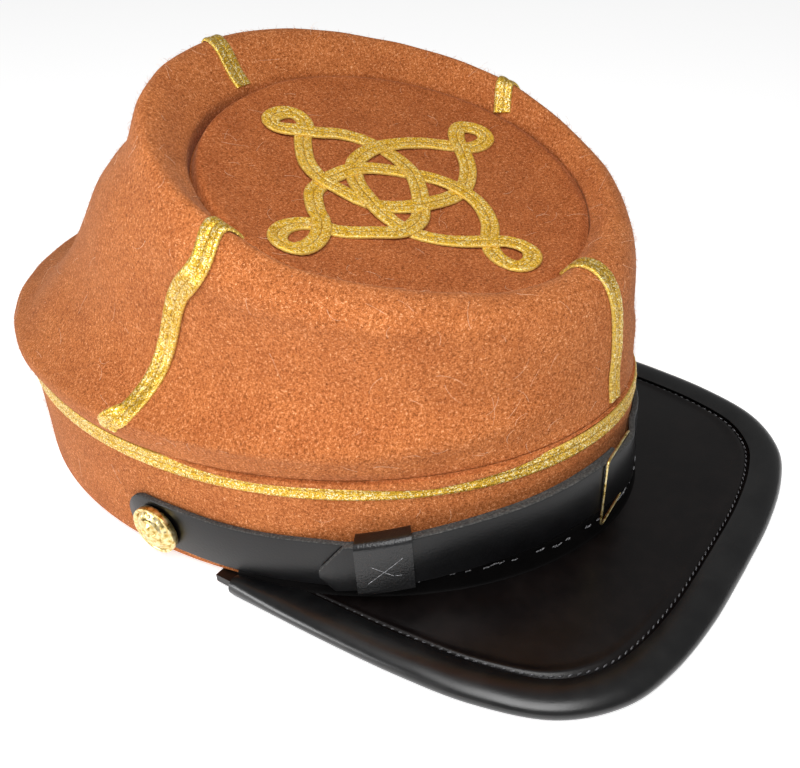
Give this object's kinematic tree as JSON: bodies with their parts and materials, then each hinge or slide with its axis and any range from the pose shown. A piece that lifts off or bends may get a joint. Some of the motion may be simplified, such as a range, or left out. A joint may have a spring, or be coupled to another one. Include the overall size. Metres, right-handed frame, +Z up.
{
  "type": "kepi cap",
  "caption": "Wool kepi cap with gold braid, a knot of braid on its recessed crown disc, a leather chin strap and a bound leather peak.",
  "frame": {"origin": "on the table under the middle of the cap's outline box, the cap standing on the back of its band and on its peak", "axes": "+Z up, the front of the cap and its peak towards -Y, the wearer's left towards +X"},
  "size_m": [0.1776, 0.2566, 0.124],
  "materials": {
    "rust_wool": "felted nap",
    "gold_braid": "metallic thread",
    "black_leather": "smooth satin",
    "brass": "polished"
  },
  "bodies": {
    "root": {"crown": "rust_wool", "crown_top": "rust_wool", "band": "rust_wool", "band_braid": "gold_braid", "left_braid": "gold_braid", "back_braid": "gold_braid", "right_braid": "gold_braid", "front_braid": "gold_braid", "crown_knot": "gold_braid", "chin_strap_right": "black_leather", "chin_strap_left": "black_leather", "strap_keeper": "black_leather", "strap_buckle": "brass", "right_button": "brass", "left_button": "brass", "peak": "black_leather", "peak_binding": "black_leather"}
  },
  "joints": []
}
